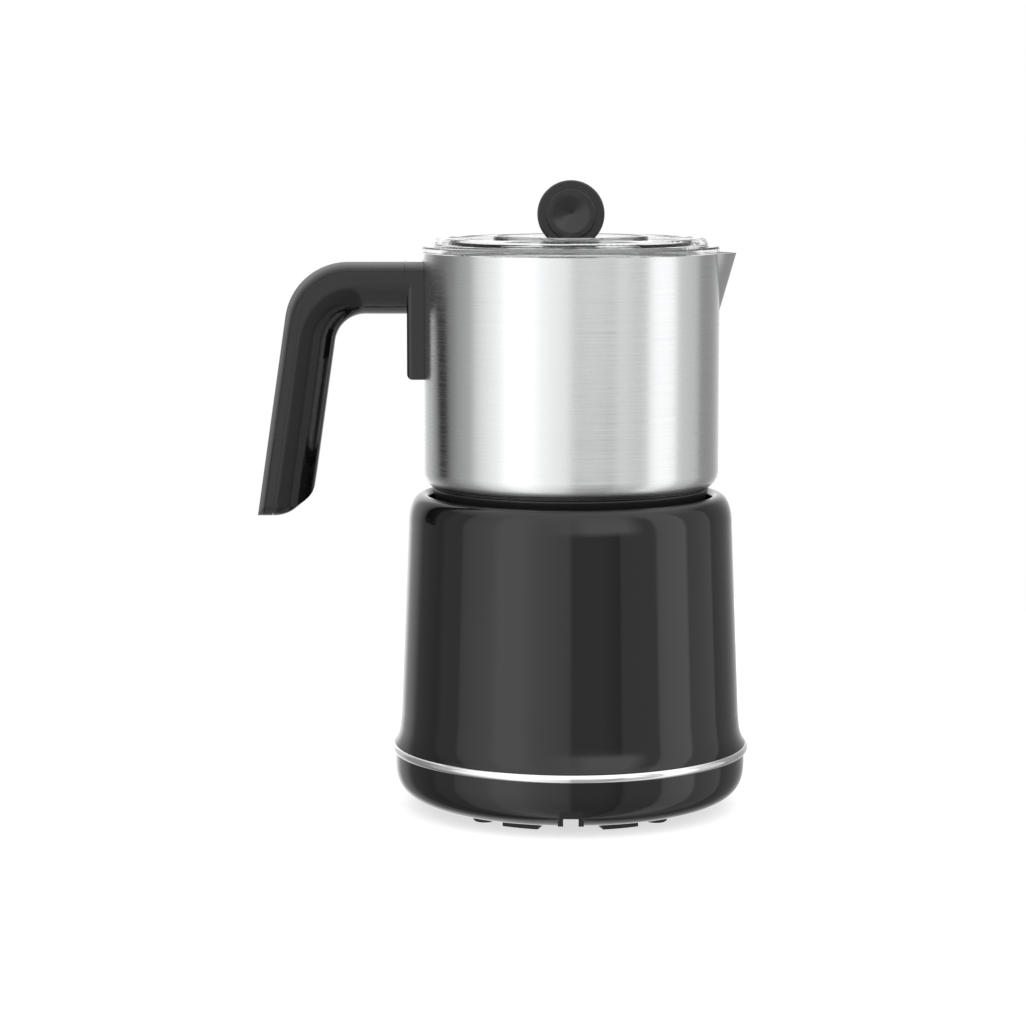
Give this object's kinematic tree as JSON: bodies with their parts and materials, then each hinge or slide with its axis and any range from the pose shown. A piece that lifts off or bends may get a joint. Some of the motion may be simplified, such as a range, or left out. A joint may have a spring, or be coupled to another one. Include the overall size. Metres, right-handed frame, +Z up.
{
  "type": "milk frother",
  "caption": "Round induction milk frother: black base with a chrome band, lift-off brushed steel jug with a black loop handle, clear lid, magnetic whisk, control dial and button.",
  "frame": {"origin": "on the table, on the axis of the base and the jug", "axes": "+Z up, handle towards -X, spout towards +X, cord notch towards -Y, dial and button towards +Y"},
  "size_m": [0.1896, 0.1491, 0.2425],
  "materials": {
    "housing_black": "glossy",
    "handle_black": "glossy",
    "collar_black": "satin",
    "knob_black": "satin",
    "dial_black": "glossy",
    "button_grey": "satin",
    "chrome": "polished",
    "jug_steel": "brushed",
    "clear_plastic": "polished",
    "silicone": "satin",
    "black_rubber": "matt",
    "screw_steel": "zinc plated",
    "deck_black": "fine-textured",
    "former_plastic": "matt",
    "litz_copper": "varnished copper",
    "ferrite": "ground",
    "motor_steel": "plain",
    "magnet_nickel": "nickel plated",
    "grey_plastic": "matt",
    "white_plastic": "satin",
    "spring_steel": "bright",
    "sink_aluminium": "extruded",
    "board_green": "solder mask",
    "capacitor_plastic": "matt",
    "choke_winding": "varnished copper",
    "fan_black": "matt",
    "switch_black": "matt",
    "light_clear": "frosted",
    "whisk_plastic": "satin",
    "bracket_steel": "plain"
  },
  "bodies": {
    "base": {"bottom_shell": "housing_black", "rubber_feet": "black_rubber", "rear_pads": "black_rubber", "base_screws": "screw_steel", "cord_gland": "black_rubber", "chrome_ring": "chrome", "base_housing": "housing_black", "induction_deck": "deck_black", "coil_former": "former_plastic", "former_screws": "screw_steel", "induction_coil": "litz_copper", "ferrite_bars": "ferrite", "motor_mount": "grey_plastic", "drive_motor": "motor_steel", "motor_screws": "screw_steel", "sensor_holder": "white_plastic", "sensor_spring": "spring_steel", "fan_frame": "fan_black", "power_board": "board_green", "board_screws": "screw_steel", "heat_sink": "sink_aluminium", "filter_choke": "choke_winding", "capacitors": "capacitor_plastic", "control_board": "board_green", "start_switch": "switch_black", "dial_encoder": "motor_steel", "light_ring": "light_clear", "dial_bezel": "chrome"},
    "drive": {"drive_rotor": "white_plastic", "drive_magnets": "magnet_nickel"},
    "sensor": {"temperature_sensor": "spring_steel"},
    "fan": {"fan_rotor": "fan_black"},
    "dial": {"selector_dial": "dial_black"},
    "button": {"start_button": "button_grey", "switch_plunger": "switch_black"},
    "jug": {"jug_body": "jug_steel", "whisk_pin": "jug_steel", "jug_base": "collar_black", "handle_inner_shell": "handle_black", "handle_cover": "handle_black", "weld_bracket": "bracket_steel", "handle_screws": "screw_steel"},
    "whisk": {"whisk_hub": "whisk_plastic", "whisk_magnets": "magnet_nickel", "whisk_coil": "spring_steel"},
    "lid": {"lid_shell": "clear_plastic", "lid_seal": "silicone"},
    "cap": {"filler_cap": "clear_plastic", "knob_washer": "knob_black", "knob_disc": "knob_black", "knob_inserts": "knob_black", "knob_screw": "screw_steel"}
  },
  "joints": [
    {"name": "jug_lift", "type": "slide", "parent": "base", "child": "jug", "axis": [0, 0, 1], "range_m": [0, 0.1]},
    {"name": "lid_lift", "type": "slide", "parent": "jug", "child": "lid", "axis": [0, 0, 1], "range_m": [0, 0.05]},
    {"name": "cap_lift", "type": "slide", "parent": "lid", "child": "cap", "axis": [0, 0, 1], "range_m": [0, 0.03]},
    {"name": "drive_spin", "type": "hinge", "parent": "base", "child": "drive", "pos_m": [0, 0, 0.1], "axis": [0, 0, 1], "continuous": true},
    {"name": "whisk_spin", "type": "hinge", "parent": "jug", "child": "whisk", "pos_m": [0, 0, 0.118], "axis": [0, 0, 1], "continuous": true},
    {"name": "fan_spin", "type": "hinge", "parent": "base", "child": "fan", "pos_m": [0, 0.007, 0.012], "axis": [0, 0, 1], "continuous": true},
    {"name": "dial_turn", "type": "hinge", "parent": "base", "child": "dial", "pos_m": [0, 0.072, 0.068], "axis": [0, 1, 0], "range_deg": [-135, 135]},
    {"name": "start_press", "type": "slide", "parent": "base", "child": "button", "axis": [0, -1, 0], "range_m": [0, 0.0012], "stiffness_N_per_m": 1500, "springref_m": -0.0006},
    {"name": "sensor_press", "type": "slide", "parent": "base", "child": "sensor", "axis": [0, 0, -1], "range_m": [0, 0.0012], "stiffness_N_per_m": 300, "springref_m": -0.001, "deforming": ["sensor_spring"]}
  ],
  "couplings": [
    {"joint": "whisk_spin", "follows": "drive_spin", "ratio": 1}
  ]
}
